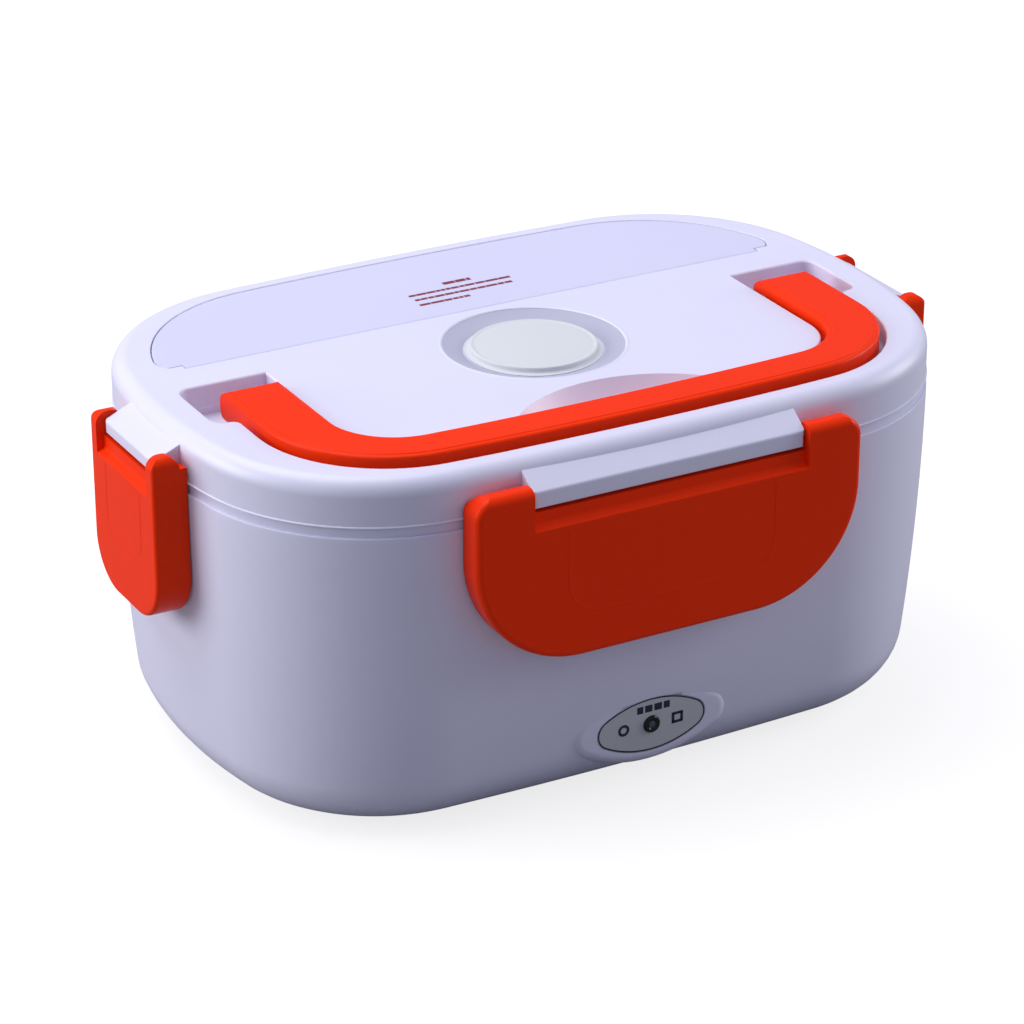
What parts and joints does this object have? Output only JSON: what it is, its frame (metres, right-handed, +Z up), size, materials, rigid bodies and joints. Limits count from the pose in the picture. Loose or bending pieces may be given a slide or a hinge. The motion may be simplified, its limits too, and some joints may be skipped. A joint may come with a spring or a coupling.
{
  "type": "electric lunch box",
  "caption": "Heated lunch box with a lift-off lid held by snap clasps, a folding carrying handle, a steam plug, a spoon box under a hinged cover and a removable food tray.",
  "frame": {"origin": "centre of the footprint, on the surface that the rubber feet stand on", "axes": "+X along the box to the right seen from the front, -Y to the front with the indicator lamp, +Z up through the lid"},
  "size_m": [0.244, 0.165, 0.1099],
  "materials": {
    "white_plastic": "satin gloss",
    "lavender_plastic": "satin gloss",
    "tray_plastic": "satin",
    "red_plastic": "gloss",
    "black_plastic": "matte",
    "white_silicone": "satin",
    "grey_rubber": "matte",
    "silver_label": "satin",
    "dark_lens": "gloss",
    "green_board": "satin",
    "mica": "satin",
    "steel": "brushed",
    "aluminium": "satin",
    "brass": "polished"
  },
  "bodies": {
    "base": {"outer_shell": "white_plastic", "inner_chamber": "white_plastic", "bottom_cover": "white_plastic", "rubber_feet": "grey_rubber", "cover_screws": "steel", "heating_plate": "aluminium", "ptc_heater": "aluminium", "mica_pads": "mica", "heater_clamps": "steel", "clamp_screws": "steel", "thermal_cutoff": "white_silicone", "power_inlet": "black_plastic", "inlet_pins": "brass", "heater_leads": "red_plastic", "lamp_leads": "red_plastic", "lamp_board": "green_board", "lamp_led": "white_silicone", "lamp_lens": "dark_lens", "lamp_label": "silver_label", "food_tray": "tray_plastic", "side_dish_box": "tray_plastic"},
    "dish_lid": {"side_dish_lid": "red_plastic"},
    "lid": {"lid_cover": "white_plastic", "lid_liner": "white_plastic", "lid_gasket": "white_silicone", "clasp_pins": "steel", "handle_pins": "steel", "spoon": "steel"},
    "spoon_cover": {"spoon_box_cover": "lavender_plastic"},
    "plug": {"steam_plug": "white_silicone"},
    "handle": {"carry_handle": "red_plastic"},
    "clasp_front": {"front_clasp": "red_plastic"},
    "clasp_back": {"back_clasp": "red_plastic"},
    "clasp_left": {"left_clasp": "red_plastic"},
    "clasp_right": {"right_clasp": "red_plastic"}
  },
  "joints": [
    {"name": "lid_lift", "type": "slide", "parent": "base", "child": "lid", "axis": [0, 0, 1], "range_m": [0, 0.12]},
    {"name": "dish_lid_lift", "type": "slide", "parent": "base", "child": "dish_lid", "axis": [0, 0, 1], "range_m": [0, 0.012]},
    {"name": "plug_lift", "type": "slide", "parent": "lid", "child": "plug", "axis": [0, 0, 1], "range_m": [0, 0.02]},
    {"name": "spoon_cover_hinge", "type": "hinge", "parent": "lid", "child": "spoon_cover", "pos_m": [0, 0.0243, 0.1064], "axis": [1, 0, 0], "range_deg": [0, 100]},
    {"name": "handle_hinge", "type": "hinge", "parent": "lid", "child": "handle", "pos_m": [0, -0.0045, 0.1049], "axis": [-1, 0, 0], "range_deg": [0, 95]},
    {"name": "front_clasp_hinge", "type": "hinge", "parent": "lid", "child": "clasp_front", "pos_m": [0, -0.0786, 0.0994], "axis": [-1, 0, 0], "range_deg": [0, 105]},
    {"name": "back_clasp_hinge", "type": "hinge", "parent": "lid", "child": "clasp_back", "pos_m": [0, 0.0786, 0.0994], "axis": [1, 0, 0], "range_deg": [0, 105]},
    {"name": "left_clasp_hinge", "type": "hinge", "parent": "lid", "child": "clasp_left", "pos_m": [-0.1176, 0, 0.0994], "axis": [0, 1, 0], "range_deg": [0, 105]},
    {"name": "right_clasp_hinge", "type": "hinge", "parent": "lid", "child": "clasp_right", "pos_m": [0.1176, 0, 0.0994], "axis": [0, -1, 0], "range_deg": [0, 105]}
  ]
}
